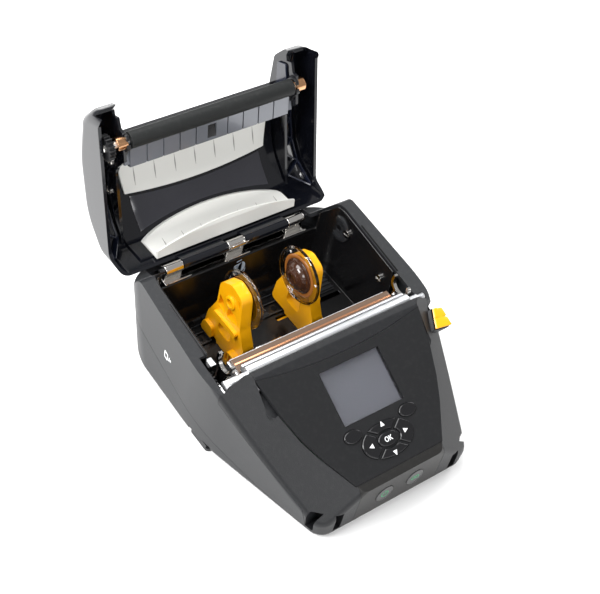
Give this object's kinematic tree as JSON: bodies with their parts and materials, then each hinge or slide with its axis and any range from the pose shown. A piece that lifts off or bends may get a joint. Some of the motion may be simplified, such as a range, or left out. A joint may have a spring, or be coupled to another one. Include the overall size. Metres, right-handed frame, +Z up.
{
  "type": "label maker",
  "caption": "Portable label maker standing with its lid open: media compartment with two roll guides, platen in the lid, tear bar, sloping panel with display and keys.",
  "frame": {"origin": "middle of the flat base, on the surface that it stands on", "axes": "+Z up, +Y from the display panel towards the lid hinge, +X to the right"},
  "size_m": [0.1558, 0.2346, 0.1385],
  "materials": {
    "casing": "fine moulded texture",
    "bumper": "soft textured",
    "panel": "matte",
    "strip": "matte",
    "lid_plastic": "glossy",
    "tray_plastic": "semi gloss",
    "pad_plastic": "satin off-white",
    "strip_plastic": "satin light grey",
    "floor_plastic": "satin grey",
    "key_plastic": "gloss",
    "window": "clear",
    "display": "satin",
    "amber_plastic": "satin amber",
    "smoky_plastic": "smoky clear",
    "steel": "satin",
    "nickel": "bright",
    "pin_steel": "blackened",
    "brass": "polished bronze",
    "platen_rubber": "fine matte",
    "gear_plastic": "satin",
    "ceramic": "glazed",
    "board": "solder mask",
    "motor_case": "plated",
    "battery_wrap": "smooth",
    "sensor": "gloss"
  },
  "bodies": {
    "base": {"lower_case": "casing", "upper_case": "casing", "bumper_left": "bumper", "bumper_right": "bumper", "trim_strip": "bumper", "control_strip": "strip", "front_panel": "panel", "display_window": "window", "display_module": "display", "keypad_board": "board", "tear_bar": "steel", "media_tray": "tray_plastic", "floor_pads": "floor_plastic", "wall_strip": "strip_plastic", "gap_sensor": "sensor", "printhead": "ceramic", "heat_sink": "steel", "printhead_bracket": "steel", "head_springs": "steel", "main_board": "board", "stepper_motor": "motor_case", "battery_pack": "battery_wrap", "battery_cover": "casing", "belt_clip": "casing", "case_screws": "nickel", "port_sockets": "sensor", "gear_plate": "steel", "hinge_pin": "pin_steel", "hinge_bracket": "nickel"},
    "lid": {"lid_shell": "lid_plastic", "lid_liner": "lid_plastic", "liner_pad_upper": "pad_plastic", "liner_pad_lower": "pad_plastic", "media_guide_bar": "floor_plastic", "guide_sensor": "sensor", "lever_plates": "steel", "lid_screws": "nickel", "platen_bushings": "brass"},
    "platen": {"platen_roller": "platen_rubber", "platen_shaft": "steel", "platen_gear": "gear_plastic"},
    "guide_left": {"guide_arm_left": "amber_plastic"},
    "guide_right": {"guide_arm_right": "amber_plastic"},
    "disc_left": {"guide_disc_left": "smoky_plastic"},
    "disc_right": {"guide_disc_right": "smoky_plastic"},
    "centring_pinion": {"centring_pinion": "gear_plastic"},
    "latch": {"latch_hooks": "nickel"},
    "release_button": {"release_button": "amber_plastic"},
    "idler_gear": {"idler_gear": "gear_plastic"},
    "motor_pinion": {"motor_pinion": "gear_plastic"},
    "port_cover": {"port_cover": "bumper"},
    "power_button": {"power_button": "key_plastic"},
    "pairing_button": {"pairing_button": "key_plastic"},
    "key_soft_left": {"key_soft_left": "key_plastic"},
    "key_soft_right": {"key_soft_right": "key_plastic"},
    "key_up": {"key_up": "key_plastic"},
    "key_enter": {"key_enter": "key_plastic"},
    "key_left": {"key_left": "key_plastic"},
    "key_right": {"key_right": "key_plastic"},
    "key_down": {"key_down": "key_plastic"}
  },
  "joints": [
    {"name": "lid_hinge", "type": "hinge", "parent": "base", "child": "lid", "pos_m": [0, 0.078, 0.05], "axis": [1, 0, 0], "range_deg": [0, 113.2]},
    {"name": "platen_spin", "type": "hinge", "parent": "lid", "child": "platen", "pos_m": [0, 0.11891, 0.11918], "axis": [1, 0, 0], "continuous": true},
    {"name": "guide_right_slide", "type": "slide", "parent": "base", "child": "guide_right", "axis": [1, 0, 0], "range_m": [-0.008, 0.032]},
    {"name": "guide_left_slide", "type": "slide", "parent": "base", "child": "guide_left", "axis": [1, 0, 0], "range_m": [-0.032, 0.008]},
    {"name": "centring_spin", "type": "hinge", "parent": "base", "child": "centring_pinion", "pos_m": [0, 0.032, 0.005], "axis": [0, 0, 1], "range_deg": [-229.3, 57.4]},
    {"name": "disc_right_spin", "type": "hinge", "parent": "guide_right", "child": "disc_right", "pos_m": [0.02, 0.0396, 0.0492], "axis": [1, 0, 0], "continuous": true},
    {"name": "disc_left_spin", "type": "hinge", "parent": "guide_left", "child": "disc_left", "pos_m": [-0.02, 0.0396, 0.0492], "axis": [1, 0, 0], "continuous": true},
    {"name": "release_press", "type": "slide", "parent": "base", "child": "release_button", "axis": [-0.798, 0.2494, -0.5486], "range_m": [0, 0.002], "stiffness_N_per_m": 600},
    {"name": "latch_turn", "type": "hinge", "parent": "base", "child": "latch", "pos_m": [0, 0.0023, 0.0366], "axis": [-1, 0, 0], "range_deg": [0, 2.6]},
    {"name": "idler_spin", "type": "hinge", "parent": "base", "child": "idler_gear", "pos_m": [-0.0685, -0.0017, 0.0411], "axis": [1, 0, 0], "continuous": true},
    {"name": "motor_spin", "type": "hinge", "parent": "base", "child": "motor_pinion", "pos_m": [-0.0685, -0.0152, 0.03369], "axis": [1, 0, 0], "continuous": true},
    {"name": "port_cover_hinge", "type": "hinge", "parent": "base", "child": "port_cover", "pos_m": [0.06436, -0.0515, 0.0128], "axis": [0.238, 0.9713, 0], "range_deg": [0, 100]},
    {"name": "power_press", "type": "slide", "parent": "base", "child": "power_button", "axis": [0, 1, 0], "range_m": [0, 0.0006], "stiffness_N_per_m": 500},
    {"name": "pairing_press", "type": "slide", "parent": "base", "child": "pairing_button", "axis": [0, 1, 0], "range_m": [0, 0.0006], "stiffness_N_per_m": 500},
    {"name": "key_soft_left_press", "type": "slide", "parent": "base", "child": "key_soft_left", "axis": [0, 0.4384, -0.8988], "range_m": [0, 0.0006], "stiffness_N_per_m": 500},
    {"name": "key_soft_right_press", "type": "slide", "parent": "base", "child": "key_soft_right", "axis": [0, 0.4384, -0.8988], "range_m": [0, 0.0006], "stiffness_N_per_m": 500},
    {"name": "key_up_press", "type": "slide", "parent": "base", "child": "key_up", "axis": [0, 0.4384, -0.8988], "range_m": [0, 0.0006], "stiffness_N_per_m": 500},
    {"name": "key_enter_press", "type": "slide", "parent": "base", "child": "key_enter", "axis": [0, 0.4384, -0.8988], "range_m": [0, 0.0006], "stiffness_N_per_m": 500},
    {"name": "key_left_press", "type": "slide", "parent": "base", "child": "key_left", "axis": [0, 0.4384, -0.8988], "range_m": [0, 0.0006], "stiffness_N_per_m": 500},
    {"name": "key_right_press", "type": "slide", "parent": "base", "child": "key_right", "axis": [0, 0.4384, -0.8988], "range_m": [0, 0.0006], "stiffness_N_per_m": 500},
    {"name": "key_down_press", "type": "slide", "parent": "base", "child": "key_down", "axis": [0, 0.4384, -0.8988], "range_m": [0, 0.0006], "stiffness_N_per_m": 500}
  ],
  "couplings": [
    {"joint": "guide_left_slide", "follows": "guide_right_slide", "ratio": -1},
    {"joint": "centring_spin", "follows": "guide_right_slide", "rad_per_m": -125},
    {"joint": "latch_turn", "follows": "release_press", "rad_per_m": 21.817},
    {"joint": "motor_spin", "follows": "idler_spin", "ratio": -2.1429}
  ]
}
